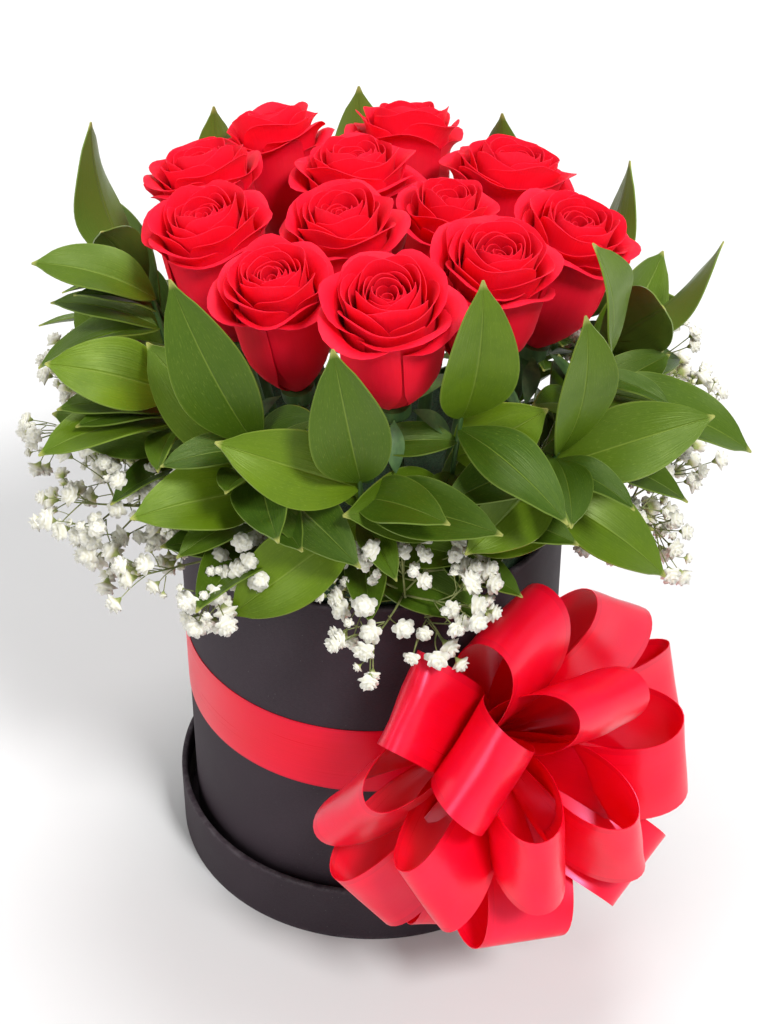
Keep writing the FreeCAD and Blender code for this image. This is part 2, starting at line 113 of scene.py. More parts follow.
scene.view_settings.view_transform = "Standard"
world = bpy.data.worlds.new("paleRoom")
world.use_nodes = True
sky = world.node_tree
direction = put(sky, "ShaderNodeTexCoord")
height = put(sky, "ShaderNodeSeparateXYZ", {0: direction.outputs["Generated"]})
fade = put(sky, "ShaderNodeMapRange", {
    "Value": height.outputs["Z"], "From Min": lightPlan["fade"][0], "From Max": lightPlan["fade"][1],
    "To Min": lightPlan["wall"], "To Max": lightPlan["ceiling"],
}, interpolation_type="SMOOTHSTEP")
feed(sky, sky.nodes["Background"], {"Color": (1.0, 1.0, 1.0, 1.0), "Strength": fade.outputs["Result"]})
scene.world = world
for lampName, source, softness, strength in lightPlan["lamps"]:
    lampData = bpy.data.lights.new(lampName, "SUN")
    lampData.angle = math.radians(softness)
    lampData.energy = strength
    lamp = bpy.data.objects.new(lampName, lampData)
    lamp.location = source
    lamp.rotation_euler = Vector(source).to_track_quat("Z", "Y").to_euler()
    scene.collection.objects.link(lamp)
print("camera and lights ready")


# material helpers
def startLook(name):
    look = bpy.data.materials.new(name)
    look.use_nodes = True
    tree = look.node_tree
    return look, tree, tree.nodes["Principled BSDF"]


def ramp(tree, fac, stops):
    node = put(tree, "ShaderNodeValToRGB", {"Fac": fac})
    bar = node.color_ramp
    while len(bar.elements) < len(stops):
        bar.elements.new(0.5)
    for element, (place, colour) in zip(bar.elements, stops):
        element.position = place
        element.color = (*colour, 1.0)
    return node.outputs["Color"]


def mixColour(tree, fac, first, second):  # inputs 6 and 7 and output 2 are the colour ones
    inputs = {0: fac}
    for key, colour in ((6, first), (7, second)):
        inputs[key] = colour if isinstance(colour, bpy.types.NodeSocket) else (*colour, 1.0)
    return put(tree, "ShaderNodeMix", inputs, data_type="RGBA").outputs[2]


def sums(tree, operation, first, second=0.5):
    return put(tree, "ShaderNodeMath", {0: first, 1: second}, operation=operation).outputs[0]


def spread(tree, value, low, high, newLow, newHigh):
    return put(tree, "ShaderNodeMapRange", {0: value, 1: low, 2: high, 3: newLow, 4: newHigh}).outputs[0]


def layers(tree, colour, *rows):  # lays colours over one, each by its own mask
    for mask, span, top in rows:
        colour = mixColour(tree, spread(tree, mask, *span), colour, top)
    return colour


def coords(tree, kind, scale=(1, 1, 1)):
    where = put(tree, "ShaderNodeTexCoord")
    return put(tree, "ShaderNodeMapping", {"Vector": where.outputs[kind], "Scale": scale}).outputs[0]


def uvAxes(tree):
    return put(tree, "ShaderNodeSeparateXYZ", {0: put(tree, "ShaderNodeTexCoord").outputs["UV"]}).outputs


def noise(tree, vector, scale=1.0, detail=3.0, rough=0.55):
    inputs = {"Vector": vector, "Scale": scale, "Detail": detail, "Roughness": rough}
    return put(tree, "ShaderNodeTexNoise", inputs).outputs["Fac"]


def bump(tree, height, strength, distance, before=None):
    inputs = {"Height": height, "Strength": strength, "Distance": distance}
    if before is not None:
        inputs["Normal"] = before
    return put(tree, "ShaderNodeBump", inputs).outputs["Normal"]


def tintOf(tree, name):
    return put(tree, "ShaderNodeAttribute", attribute_name=name).outputs["Fac"]


def petalLook():
    plan = {
        # heart is painted shade on each petal's base, deep in the bloom; lip is a paler, pinker painted
        # highlight along the petal's edge
        "heart": (0.50, 0.001, 0.008), "face": (0.86, 0.003, 0.022), "lip": (0.95, 0.012, 0.042),
        "vein": (0.62, 0.001, 0.012), "blush": (0.92, 0.008, 0.035), "dark": (0.66, 0.001, 0.012),
        "veins": 70.0,
    }
    look, tree, shader = startLook("rosePetal")
    # the ramp paints shade at the petal's base and a highlight at its lip
    stops = [(0.0, plan["heart"]), (0.5, plan["face"]), (0.9, plan["face"]), (1.0, plan["lip"])]
    veins = noise(tree, coords(tree, "UV", (plan["veins"], 3.0, 1.0)), detail=4.0)
    clouds = noise(tree, coords(tree, "Object"), 90.0)
    colour = layers(
        tree, ramp(tree, uvAxes(tree)["Y"], stops),
        (veins, (0.35, 0.8, 0.0, 0.3), plan["vein"]),
        (clouds, (0.35, 0.7, 0.0, 0.3), plan["blush"]),
        (tintOf(tree, "tint"), (0.0, 1.0, 0.0, 0.25), plan["dark"]),
    )
    feed(tree, shader, {
        "Base Color": colour, "Roughness": 0.6, "Specular IOR Level": 0.15,
        "Subsurface Weight": 0.28, "Subsurface Radius": (1.0, 0.03, 0.05), "Subsurface Scale": 0.003,
        "Sheen Weight": 0.12, "Sheen Roughness": 0.4, "Sheen Tint": (1.0, 0.12, 0.16, 1.0),
        "Normal": bump(tree, veins, 0.25, 0.0003),
    })
    return look


def leafLook():
    plan = {
        "deep": (0.022, 0.055, 0.004), "fresh": (0.105, 0.175, 0.005), "streak": (0.065, 0.115, 0.004),
        "patch": (0.035, 0.080, 0.004), "rib": (0.20, 0.27, 0.04), "under": (0.12, 0.18, 0.03),
        "tip": (0.36, 0.36, 0.10),
    }
    look, tree, shader = startLook("ruscusLeaf")
    uv = uvAxes(tree)
    across = sums(tree, "ABSOLUTE", sums(tree, "SUBTRACT", uv["X"], 0.5))
    streaks = noise(tree, coords(tree, "UV", (42.0, 1.6, 1.0)))
    patches = noise(tree, coords(tree, "Object"), 70.0)
    flecks = noise(tree, coords(tree, "UV", (95.0, 26.0, 1.0)), detail=2.0)
    colour = layers(
        tree, mixColour(tree, tintOf(tree, "tint"), plan["deep"], plan["fresh"]),
        (streaks, (0.4, 0.75, 0.0, 0.4), plan["streak"]),
        (patches, (0.45, 0.8, 0.0, 0.5), plan["patch"]),
        (flecks, (0.60, 0.72, 0.0, 0.35), plan["rib"]),
        (across, (0.004, 0.016, 0.45, 0.0), plan["rib"]),
        (across, (0.48, 0.5, 0.0, 0.35), plan["rib"]),
        (tintOf(tree, "side"), (0.0, 1.0, 0.0, 0.65), plan["under"]),
        (uv["Y"], (0.955, 0.985, 0.0, 0.75), plan["tip"]),
    )
    ribs = spread(tree, across, 0.0, 0.03, 0.0, 1.0)
    feed(tree, shader, {
        "Base Color": colour, "Roughness": spread(tree, patches, 0.3, 0.7, 0.33, 0.48),
        "Specular IOR Level": 0.4, "Specular Tint": (0.72, 0.85, 0.42, 1.0),
        "Normal": bump(tree, ribs, 0.5, 0.0006, bump(tree, streaks, 0.35, 0.0005)),
    })
    return look


def mistLook():
    plan = {
        # fold is painted shade, laid on the valleys between the frills and on the middle; cup and throat are
        # the flower's own green
        "cup": (0.22, 0.30, 0.06), "throat": (0.50, 0.52, 0.22), "fold": (0.66, 0.64, 0.50),
        "frill": (0.84, 0.83, 0.77), "speckle": (0.60, 0.56, 0.42),
    }
    look, tree, shader = startLook("gypsophilaWhite")
    stops = [(0.0, plan["cup"]), (0.2, plan["throat"]), (0.5, plan["fold"]), (1.0, plan["frill"])]
    speckle = noise(tree, coords(tree, "Object"), 900.0)
    body = ramp(tree, tintOf(tree, "tint"), stops)
    colour = layers(tree, body, (speckle, (0.4, 0.8, 0.0, 0.3), plan["speckle"]))
    feed(tree, shader, {
        "Base Color": colour, "Roughness": 0.7, "Specular IOR Level": 0.2,
        "Normal": bump(tree, speckle, 0.3, 0.0003),
    })
    return look


def satinLook(name, gloss):
    plan = {
        "shade": (0.84, 0.001, 0.010), "face": (0.90, 0.002, 0.020), "glow": (0.94, 0.004, 0.034),
        "edge": (0.60, 0.002, 0.016), "selvedge": 0.0156,
    }
    look, tree, shader = startLook(name)
    streak = noise(tree, coords(tree, "UV", (9.0, 1500.0, 1.0)))
    broad = noise(tree, coords(tree, "UV", (14.0, 40.0, 1.0)), detail=2.0)
    edge = sums(tree, "GREATER_THAN", sums(tree, "ABSOLUTE", uvAxes(tree)["Y"]), plan["selvedge"])
    colour = layers(
        tree, plan["shade"],
        (streak, (0.3, 0.75, 0.0, 1.0), plan["face"]),
        (broad, (0.35, 0.75, 0.0, 0.5), plan["glow"]),
        (edge, (0.0, 1.0, 0.0, 0.35), plan["edge"]),
    )
    weave = put(tree, "ShaderNodeTexWave", {
        "Vector": coords(tree, "UV"), "Scale": 420.0, "Distortion": 0.6,
    }, bands_direction="X").outputs["Fac"]
    feed(tree, shader, {
        "Base Color": colour, "Roughness": spread(tree, streak, 0.3, 0.7, 0.27, 0.36),
        "Specular IOR Level": gloss, "Specular Tint": (1.0, 0.30, 0.54, 1.0),
        # light comes through to the insides of the loops
        "Subsurface Weight": 0.45, "Subsurface Radius": (1.0, 0.01, 0.03), "Subsurface Scale": 0.004,
        "Normal": bump(tree, weave, 0.05, 0.0001, bump(tree, streak, 0.16, 0.0001)),
    })
    return look


def paperLook(name, wrap):
    plan = {
        "face": (0.022, 0.0135, 0.019), "pale": (0.034, 0.023, 0.030), "paleBlotch": (0.046, 0.033, 0.042),
        "fleck": (0.13, 0.12, 0.12), "scuff": (0.115, 0.100, 0.108), "edge": 0.0022,
    }
    look, tree, shader = startLook(name)
    where = coords(tree, "Object")
    fibres = noise(tree, coords(tree, "Object", (1, 1, 2.2)), 900.0, 5.0, 0.7)
    clouds = noise(tree, where, 22.0, 4.0)
    flecks = put(tree, "ShaderNodeTexVoronoi", {"Vector": where, "Scale": 260.0})
    colour = layers(
        tree, plan["face"],
        (fibres, (0.35, 0.75, 0.0, 1.0), plan["pale"]),
        # paler in broad blotches laid at random
        (clouds, (0.45, 0.75, 0.0, 0.45), plan["paleBlotch"]),
        (flecks.outputs["Distance"], (0.03, 0.07, 0.5, 0.0), plan["fleck"]),
    )
    height = put(tree, "ShaderNodeSeparateXYZ", {0: where}).outputs["Z"]
    scuffs = spread(tree, noise(tree, where, 330.0, 5.0, 0.7), 0.40, 0.72, 0.0, 1.0)
    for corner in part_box(wrap):  # rubbed paler along the foot and the rim
        off = sums(tree, "ABSOLUTE", sums(tree, "SUBTRACT", height, corner.z))
        rubbed = sums(tree, "MULTIPLY", spread(tree, off, 0.0004, plan["edge"], 0.55, 0.0), scuffs)
        colour = mixColour(tree, rubbed, colour, plan["scuff"])
    feed(tree, shader, {
        "Base Color": colour, "Roughness": spread(tree, clouds, 0.3, 0.7, 0.62, 0.78),
        "Specular IOR Level": 0.24,
        "Normal": bump(tree, fibres, 0.35, 0.0003, bump(tree, clouds, 0.1, 0.001)),
    })
    return look


def foamLook():
    plan = {"wet": (0.012, 0.035, 0.014), "dry": (0.03, 0.075, 0.03), "pore": (0.006, 0.016, 0.007)}
    look, tree, shader = startLook("wetFoam")
    where = coords(tree, "Object")
    pores = put(tree, "ShaderNodeTexVoronoi", {"Vector": where, "Scale": 900.0}).outputs["Distance"]
    damp = noise(tree, where, 60.0, 4.0)
    colour = layers(
        tree, plan["wet"],
        (damp, (0.35, 0.7, 0.0, 1.0), plan["dry"]),
        (pores, (0.1, 0.5, 0.7, 0.0), plan["pore"]),
    )
    feed(tree, shader, {"Base Color": colour, "Roughness": 0.85, "Normal": bump(tree, pores, 0.6, 0.0008)})
    return look


def grainLook(name, plan):  # one noise gives the colour and the relief
    look, tree, shader = startLook(name)
    grain = noise(tree, coords(tree, "Object", plan["stretch"]), *plan["noise"])
    feed(tree, shader, {
        "Base Color": ramp(tree, grain, plan["colours"]), "Roughness": plan["roughness"],
        "Normal": bump(tree, grain, *plan["relief"]),
    })
    return look


def floorLook():
    look, tree, shader = startLook("paleFloor")
    grain = noise(tree, coords(tree, "Object"), 3.0)
    colour = mixColour(tree, grain, (0.60, 0.60, 0.60), (0.62, 0.62, 0.62))
    feed(tree, shader, {"Base Color": colour, "Roughness": 0.9})
    return look


petalRed = petalLook()
leafGreen = leafLook()
stemGreen = grainLook("greenStem", {
    "stretch": (300, 300, 40), "noise": (1.0, 3.0), "roughness": 0.5, "relief": (0.3, 0.0004),
    "colours": [(0.3, (0.025, 0.07, 0.015)), (0.6, (0.06, 0.13, 0.03)), (0.8, (0.11, 0.17, 0.05))],
})
mistWhite = mistLook()
twigTan = grainLook("paleTwig", {
    "stretch": (300, 300, 300), "noise": (1.0, 3.0), "roughness": 0.6, "relief": (0.3, 0.0003),
    "colours": [(0.3, (0.10, 0.13, 0.03)), (0.6, (0.20, 0.22, 0.07)), (0.8, (0.26, 0.22, 0.10))],
})
ribbonRed = satinLook("redSatin", 0.95)
bandRed = satinLook("redSatinFlat", 0.4)  # pulled flat, it catches less light
boxBlack = paperLook("blackPaper", "box_wrap")
lidBlack = paperLook("blackPaperLid", "lid_wrap")
boardGrey = grainLook("greyBoard", {
    "stretch": (1, 1, 4), "noise": (500.0, 5.0, 0.7), "roughness": 0.9, "relief": (0.4, 0.0004),
    "colours": [(0.3, (0.17, 0.15, 0.13)), (0.55, (0.28, 0.25, 0.22)), (0.8, (0.38, 0.35, 0.31))],
})
foamGreen = foamLook()
linerBlack = grainLook("linerPlastic", {
    "stretch": (1, 1, 0.5), "noise": (45.0, 3.0), "roughness": 0.25, "relief": (0.25, 0.002),
    "colours": [(0.3, (0.010, 0.010, 0.011)), (0.7, (0.022, 0.022, 0.024))],
})
print("materials ready")


# shape helpers
upright = np.array((0.0, 0.0, 1.0))


def solidsOf(nodeName):  # the corner points of each separate solid of a CAD node
    mesh = nodes[nodeName].data
    flat = np.empty(len(mesh.vertices) * 3)
    mesh.vertices.foreach_get("co", flat)
    points, index = np.unique(np.round(flat.reshape(-1, 3), 6), axis=0, return_inverse=True)
    corners = np.empty(len(mesh.loops), np.int32)
    mesh.loops.foreach_get("vertex_index", corners)
    triangles = index.ravel()[corners].reshape(-1, 3)
    owner = np.arange(len(points))
    while True:
        lowest = owner[triangles].min(axis=1)
        merged = owner.copy()
        for corner in range(3):
            np.minimum.at(merged, triangles[:, corner], lowest)
        merged = merged[merged]
        if (merged == owner).all():
            break
        owner = merged
    return [points[owner == which] for which in np.unique(owner)]


def unit(vector):
    return vector / max(np.linalg.norm(vector), 1e-12)


def ease(values):
    values = np.clip(values, 0, 1)
    return values * values * (3 - 2 * values)


def stacked(*values):
    return np.stack(np.broadcast_arrays(*values), axis=-1)


def farEnd(points, run, depth=0.0004):  # the points within a short depth of the far end of a run
    return points[run > run.max() - depth]


def rodEnds(points):  # middle of each end of a thin rod, and its thickness
    centre = points.mean(axis=0)
    axis = np.linalg.svd(points - centre, full_matrices=False)[2][0]
    along = (points - centre) @ axis
    low = farEnd(points, -along).mean(axis=0)
    high = farEnd(points, along).mean(axis=0)
    away = (points - centre) - np.outer(along, axis)
    return low, high, 2 * np.linalg.norm(away, axis=1).max()


def radiiOf(nodeName):  # nearest and farthest distance of a round node from the upright axis
    distance = np.linalg.norm(np.concatenate(solidsOf(nodeName))[:, :2], axis=1)
    return distance.min(), distance.max()


def sideways(axis):
    side = unit(np.cross(axis, upright if abs(axis[2]) < 0.9 else (1.0, 0.0, 0.0)))
    return side, np.cross(axis, side)


def ringFaces(start, rings, count):  # quads from ring to ring, and a cap on each end
    faces = []
    for ring in range(rings - 1):
        for i in range(count):
            a = start + ring * count + i
            b = start + ring * count + (i + 1) % count
            faces.append([a, b, b + count, a + count])
    faces.append([start + i for i in reversed(range(count))])
    faces.append([start + (rings - 1) * count + i for i in range(count)])
    return faces


class Skin:  # gathers closed sheets and tubes into one mesh
    def __init__(self):
        self.points, self.faces, self.uvs, self.tints, self.sides, self.slots = ([] for _ in range(6))
        self.count = 0

    def keep(self, points, uvs, tint=0.5, side=0.0):
        self.points.append(points)
        self.uvs.append(uvs)
        self.tints.append(np.broadcast_to(tint, len(points)))
        self.sides.append(np.full(len(points), side))
        start = self.count
        self.count += len(points)
        return start

    def addFaces(self, faces, slot=0):
        self.faces.extend(faces)
        self.slots.extend([slot] * len(faces))

    def sheet(self, grid, thickness, uv, tint=0.5):
        rows, cols = grid.shape[:2]
        normal = np.cross(np.gradient(grid, axis=1), np.gradient(grid, axis=0))
        normal /= np.maximum(np.linalg.norm(normal, axis=2, keepdims=True), 1e-15)
        half = normal * (np.asarray(thickness).reshape(-1, 1, 1) / 2)
        front = self.keep((grid + half).reshape(-1, 3), uv.reshape(-1, 2), tint, 0.0)
        back = self.keep((grid - half).reshape(-1, 3), uv.reshape(-1, 2), tint, 1.0)
        faces = []
        for row in range(rows - 1):
            for col in range(cols - 1):
                a = row * cols + col
                quad = (a, a + 1, a + 1 + cols, a + cols)
                faces.append([front + i for i in quad])
                faces.append([back + i for i in reversed(quad)])
        rim = list(range(cols))
        rim += [row * cols + cols - 1 for row in range(1, rows)]
        rim += [(rows - 1) * cols + col for col in range(cols - 2, -1, -1)]
        rim += [row * cols for row in range(rows - 2, 0, -1)]
        for a, b in zip(rim, rim[1:] + rim[:1]):
            faces.append([front + b, front + a, back + a, back + b])
        self.addFaces(faces)

    def tube(self, path, radii, sides, slot=0):
        heading = np.gradient(path, axis=0)
        side, _ = sideways(unit(heading[0]))
        turns = np.linspace(0, 2 * math.pi, sides, endpoint=False)
        rings = []
        for place, along, radius in zip(path, heading, radii):
            along = unit(along)
            side = unit(side - along * (side @ along))
            other = np.cross(along, side)
            rings.append(place + radius * (np.outer(np.cos(turns), side) + np.outer(np.sin(turns), other)))
        uv = np.stack(np.meshgrid(np.linspace(0, 1, sides), np.linspace(0, 1, len(path))), axis=-1)
        start = self.keep(np.concatenate(rings), uv.reshape(-1, 2))
        self.addFaces(ringFaces(start, len(path), sides), slot)

    def lathe(self, outline, segments):  # a closed (radius, height) outline, run anticlockwise
        outline = np.asarray(outline)
        radius, height = outline[:, 0], outline[:, 1]
        count = len(outline)
        rings, uv = [], []
        for turn in np.linspace(0, 2 * math.pi, segments, endpoint=False):
            rings.append(np.stack([radius * math.sin(turn), -radius * math.cos(turn), height], axis=1))
            uv.append(np.stack([np.full(count, turn * radius.max()), height - height.mean()], axis=1))
        start = self.keep(np.concatenate(rings), np.concatenate(uv))
        faces = []
        for ring in range(segments):
            here, beyond = start + ring * count, start + ((ring + 1) % segments) * count
            for i in range(count):
                up = (i + 1) % count
                faces.append([here + i, beyond + i, beyond + up, here + up])
        self.addFaces(faces)

    def build(self, name, looks, sharp=55):
        mesh = bpy.data.meshes.new(name)
        mesh.from_pydata(np.concatenate(self.points).tolist(), [], self.faces)
        corners = np.empty(len(mesh.loops), np.int32)
        mesh.loops.foreach_get("vertex_index", corners)
        uvs = np.concatenate(self.uvs)[corners].astype(np.float32)
        mesh.uv_layers.new(name="UVMap").data.foreach_set("uv", uvs.ravel())
        for label, values in (("tint", self.tints), ("side", self.sides)):
            marks = mesh.attributes.new(label, "FLOAT", "POINT").data
            marks.foreach_set("value", np.concatenate(values).astype(np.float32))
        for look in looks:
            mesh.materials.append(look)
        mesh.polygons.foreach_set("material_index", self.slots)
        mesh.polygons.foreach_set("use_smooth", [True] * len(mesh.polygons))
        mesh.set_sharp_from_angle(angle=math.radians(sharp))
        mesh.update()
        return addObject(name, mesh)


def addObject(name, mesh):
    piece = bpy.data.objects.new(name, mesh)
    scene.collection.objects.link(piece)
    return piece


def settle(piece, body, slot, *replaced):
    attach(piece, body)
    if replaced:
        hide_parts(*replaced)


def dress(nodeName, look):  # a new look for a CAD node that stays
    nodes[nodeName].data.materials.clear()
    nodes[nodeName].data.materials.append(look)


def rounded(corners, radii, steps=4):  # an outline with some of its corners rounded
    outline = []
    count = len(corners)
    for i, (corner, radius) in enumerate(zip(corners, radii)):
        here = np.array(corner)
        if not radius:
            outline.append(here)
            continue
        start = here + unit(np.array(corners[i - 1]) - here) * radius
        end = here + unit(np.array(corners[(i + 1) % count]) - here) * radius
        for share in np.linspace(0, 1, steps + 1):
            outline.append(start * (1 - share) ** 2 + here * 2 * share * (1 - share) + end * share ** 2)
    return outline


# box, lid and ribbon band
boxPlan = {
    "segments": 180, "wallRows": 14, "bandRows": 12, "sharp": 40,
    "paper": 0.0003,
    "rim": 0.0011,  # rounding of the paper over the rim
    "boxFold": 0.015, "lidFold": 0.012,  # how far the paper is turned in
    "bandEdge": 0.00012,  # how far the ribbon's edges lie in
}


def paperWrap(name, nodeName, fold, body, look):
    inner, outer = radiiOf(nodeName)
    low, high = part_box(nodeName)
    paper, rim = boxPlan["paper"], boxPlan["rim"]
    foot, top = low.z, high.z
    rise = np.linspace(foot, top, boxPlan["wallRows"])[:-1]
    corners = [(outer, z) for z in rise]
    corners += [(outer, top), (inner, top), (inner, top - fold), (inner + paper, top - fold)]
    corners += [(inner + paper, top - paper), (outer - paper, top - paper), (outer - paper, foot)]
    radii = [0] * len(rise) + [rim, rim, 0, 0, rim - paper, rim - paper, 0]
    skin = Skin()
    skin.lathe(rounded(corners, radii), boxPlan["segments"])
    settle(skin.build(name, [look], boxPlan["sharp"]), body, "black_paper", nodeName)


paperWrap("boxPaper", "box_wrap", boxPlan["boxFold"], "box", boxBlack)
paperWrap("lidPaper", "lid_wrap", boxPlan["lidFold"], "lid", lidBlack)


def ribbonBand():
    inner, outer = radiiOf("ribbon_band")
    low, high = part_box("ribbon_band")
    rows = np.linspace(low.z, high.z, boxPlan["bandRows"])
    edge = outer - boxPlan["bandEdge"]
    corners = [(edge, low.z)] + [(outer, z) for z in rows[1:-1]] + [(edge, high.z)]
    corners += [(inner, z) for z in rows[::-1]]
    skin = Skin()
    skin.lathe(corners, boxPlan["segments"])
    piece = skin.build("bandRibbon", [bandRed], boxPlan["sharp"])
    settle(piece, "box", "red_satin", "ribbon_band")


ribbonBand()
for nodeName, look in (
    # lid_disc takes the black lid paper: a lining guessed for it, which also paints the shade in the gap
    # between the box and the lid's rim
    ("lid_face", lidBlack), ("lid_disc", lidBlack), ("lid_hoop", boardGrey),
    ("box_tube", boardGrey), ("box_base", boardGrey), ("plastic_liner", linerBlack),
    ("foam_left", foamGreen), ("foam_right", foamGreen),
):
    dress(nodeName, look)
print("box, lid and band ready")


# roses
rosePlan = {
    "petals": 31, "columns": 17,
    "rows": (0.0, 0.07, 0.16, 0.27, 0.39, 0.51, 0.62, 0.71, 0.78, 0.83, 0.87, 0.91, 0.945, 0.975, 1.0),
    "goldenTurn": 137.5, "turnChance": (-0.12, 0.12),
    "topChance": (0.955, 1.015), "lipChance": (0.8, 1.1),
    "heartRadius": 0.045, "bodyRadius": 0.73,
    "fill": 0.985,  # share of the CAD bloom's radius
    "shoulder": 0.15,  # how much lower a petal's corners are than its middle
    "openness": (0.82, 1.06),
    "stages": {  # how a petal changes from the heart outwards
        "share": (0.0, 0.28, 0.50, 0.70, 0.85, 1.0),
        "top": (0.90, 0.96, 1.0, 0.985, 0.935, 0.87),
        "lip": (-8, -24, -10, 22, 68, 112),
        "halfTurn": (1.9, 1.5, 1.34, 1.26, 1.2, 1.15),
        "cup": (0.0, 0.08, 0.08, 0.03, 0.0, 0.0),
        "curl": (0, 0, 4, 10, 18, 24),
        "lipStart": (0.86, 0.86, 0.85, 0.84, 0.82, 0.81),
        "wave": (0.0, 0.5, 1.2, 2.1, 3.1, 3.6),
        "point": (0.0, 0.0, 0.006, 0.012, 0.022, 0.022),
    },
    "waveOut": 0.012, "waveUp": 0.008, "lean": 0.045, "thickness": 0.00034,
    "seed": 11,
}


def rosePetal(share, turn, radius, height, openness, chance):
    stages = rosePlan["stages"]
    now = {key: np.interp(share, stages["share"], stages[key]) for key in stages}
    v = np.array(rosePlan["rows"]).reshape(-1, 1)
    u = np.linspace(-1, 1, rosePlan["columns"]).reshape(1, -1)
    point = now["point"] * v ** 4 * np.exp(-(u / 0.2) ** 2)
    grown = v * (1 - rosePlan["shoulder"] * np.abs(u) ** 4) + point
    heart = rosePlan["heartRadius"]
    body = radius * (heart + (rosePlan["bodyRadius"] - heart) * share ** 0.84)
    top = height * now["top"] * chance.uniform(*rosePlan["topChance"])
    # the cup, up to where the lip starts
    low = np.minimum(grown, now["lipStart"])
    bulge = 0.22 + 0.76 * np.sin(np.clip(low / 0.54, 0, 1) * math.pi / 2) ** 0.9 + 0.02 * low
    r = body * (bulge - now["cup"] * ease((low - 0.45) / 0.5))
    z = top * low
    # the lip, an arc that swings outwards
    reach = np.clip((grown - now["lipStart"]) / (1 - now["lipStart"]), 0, 1.4)
    first = math.radians(2)
    lip = now["lip"] * openness * chance.uniform(*rosePlan["lipChance"])
    last = np.radians(lip + now["curl"] * np.abs(u) ** 2.2)
    swing = np.where(np.abs(last - first) < 1e-3, 1e-3, last - first)
    lipLength = top * (1 - now["lipStart"])
    r = r + lipLength * (math.cos(first) - np.cos(first + swing * reach)) / swing
    z = z + lipLength * (np.sin(first + swing * reach) - math.sin(first)) / swing
    # the waves of the edge
    phase = chance.uniform(*anyTurn)
    flutter = ease((grown - 0.5) / 0.5) * now["wave"]
    r = r + radius * rosePlan["waveOut"] * flutter * np.sin(4.0 * u + phase)
    z = z + height * rosePlan["waveUp"] * flutter * np.sin(5.0 * u + phase * 2)
    r = np.maximum(r, 0.0006) * (1 + rosePlan["lean"] * u)
    angle = turn + u * now["halfTurn"] * (0.55 + 0.45 * np.sin(np.minimum(v / 0.6, 1) * math.pi / 2))
    return stacked(r * np.cos(angle), r * np.sin(angle), z), stacked((u + 1) / 2, v)


def roseBloom(number):
    label = "rose_%02d" % number
    axis = np.array(next(joint["axis"] for joint in frame["joints"] if joint["child"] == label), float)
    side, other = sideways(axis)
    stem = max(solidsOf(label + "_stem"), key=lambda points: np.ptp(points @ axis))
    tip = farEnd(stem, -(stem @ axis))
    foot = (tip.min(axis=0) + tip.max(axis=0)) / 2
    petals = np.concatenate(solidsOf(label + "_bloom")) - foot
    along = petals @ axis
    away = np.linalg.norm(petals - np.outer(along, axis), axis=1)
    seat = foot + axis * along.min()
    height = along.max() - along.min()
    radius = away.max() * rosePlan["fill"]
    chance = random.Random(rosePlan["seed"] * 100 + number)
    skin = Skin()
    start, openness = chance.uniform(*anyTurn), chance.uniform(*rosePlan["openness"])
    count = rosePlan["petals"]
    thickness = rosePlan["thickness"] * np.interp(rosePlan["rows"], (0, 0.3, 0.9, 1), (0.4, 1, 1, 0.6))
    for order in range(count):
        turn = start + math.radians(rosePlan["goldenTurn"]) * order + chance.uniform(*rosePlan["turnChance"])
        grid, uv = rosePetal(order / (count - 1), turn, radius, height, openness, chance)
        placed = seat + grid[..., :1] * side + grid[..., 1:2] * other + grid[..., 2:] * axis
        skin.sheet(placed, thickness, uv, chance.uniform(0, 1))
    settle(skin.build("roseBloom%02d" % number, [petalRed]), label, "rose_petal", label + "_bloom")
    dress(label + "_stem", stemGreen)
    return seat, axis, away.max()


roses = [roseBloom(number) for number in range(1, 13)]
print("roses ready:", len(roses))


# ruscus
leafPlan = {
    "rows": 25, "columns": 13, "thickness": 0.0006,
    "slim": 0.86, "cup": 0.24, "wave": 0.12, "arch": 0.10, "twist": 10.0,
    "rib": 0.0005, "petiole": 0.0016,
    "showFace": 0.9,  # how far front leaves turn to face outwards
    "tint": (0.25, 1.0), "fillerTint": (0.0, 0.4),
    "fillers": 18, "attempts": 260, "fillerBearing": (-120, 120), "fillerPitch": (-15, 65),
    "fillerLength": (0.024, 0.056), "fillerWidth": 0.48,  # width as a share of the length
    "gap": 0.0026,
    "stemRoom": 0.006,  # kept free round a rose's stem
    "bloomRoom": (0.004, 0.002),  # kept free under a bloom and round it
    "planted": 0.040, "highest": 0.97, "stemTaper": 0.8,
    "seed": 5,
}


def leafGrid(base, tip, normal, width, chance):
    length = np.linalg.norm(tip - base)
    along = (tip - base) / length
    across = np.cross(along, normal)
    s = np.linspace(0, 1, leafPlan["rows"]).reshape(-1, 1)
    u = np.linspace(-1, 1, leafPlan["columns"]).reshape(1, -1)
    outline = np.sin(math.pi * s ** 0.93) ** 0.84 * (1 - 0.42 * ease((s - 0.86) / 0.14))
    half = width / 2 * leafPlan["slim"] * np.maximum(outline, 0.025)
    phase, swirl = chance.uniform(*anyTurn), chance.uniform(0.8, 1.4)
    z = leafPlan["cup"] * half * np.abs(u) ** 1.7
    z = z - leafPlan["rib"] * np.exp(-(u / 0.09) ** 2) * np.sin(math.pi * s)
    z = z + leafPlan["wave"] * half * u ** 2 * np.sin(6.28 * swirl * s + phase + np.sign(u) * 0.9)
    lean = math.radians(chance.uniform(-1, 1) * leafPlan["twist"]) * (s - 0.45)
    x = half * u
    flat, lift = x * np.cos(lean) - z * np.sin(lean), x * np.sin(lean) + z * np.cos(lean)
    rise = leafPlan["arch"] * 4 * s * (1 - s) * length
    run = s * (length + leafPlan["petiole"]) - leafPlan["petiole"]
    grid = base + along * run[..., None] + across * flat[..., None] + normal * (lift + rise)[..., None]
    return grid, stacked((u + 1) / 2, s)


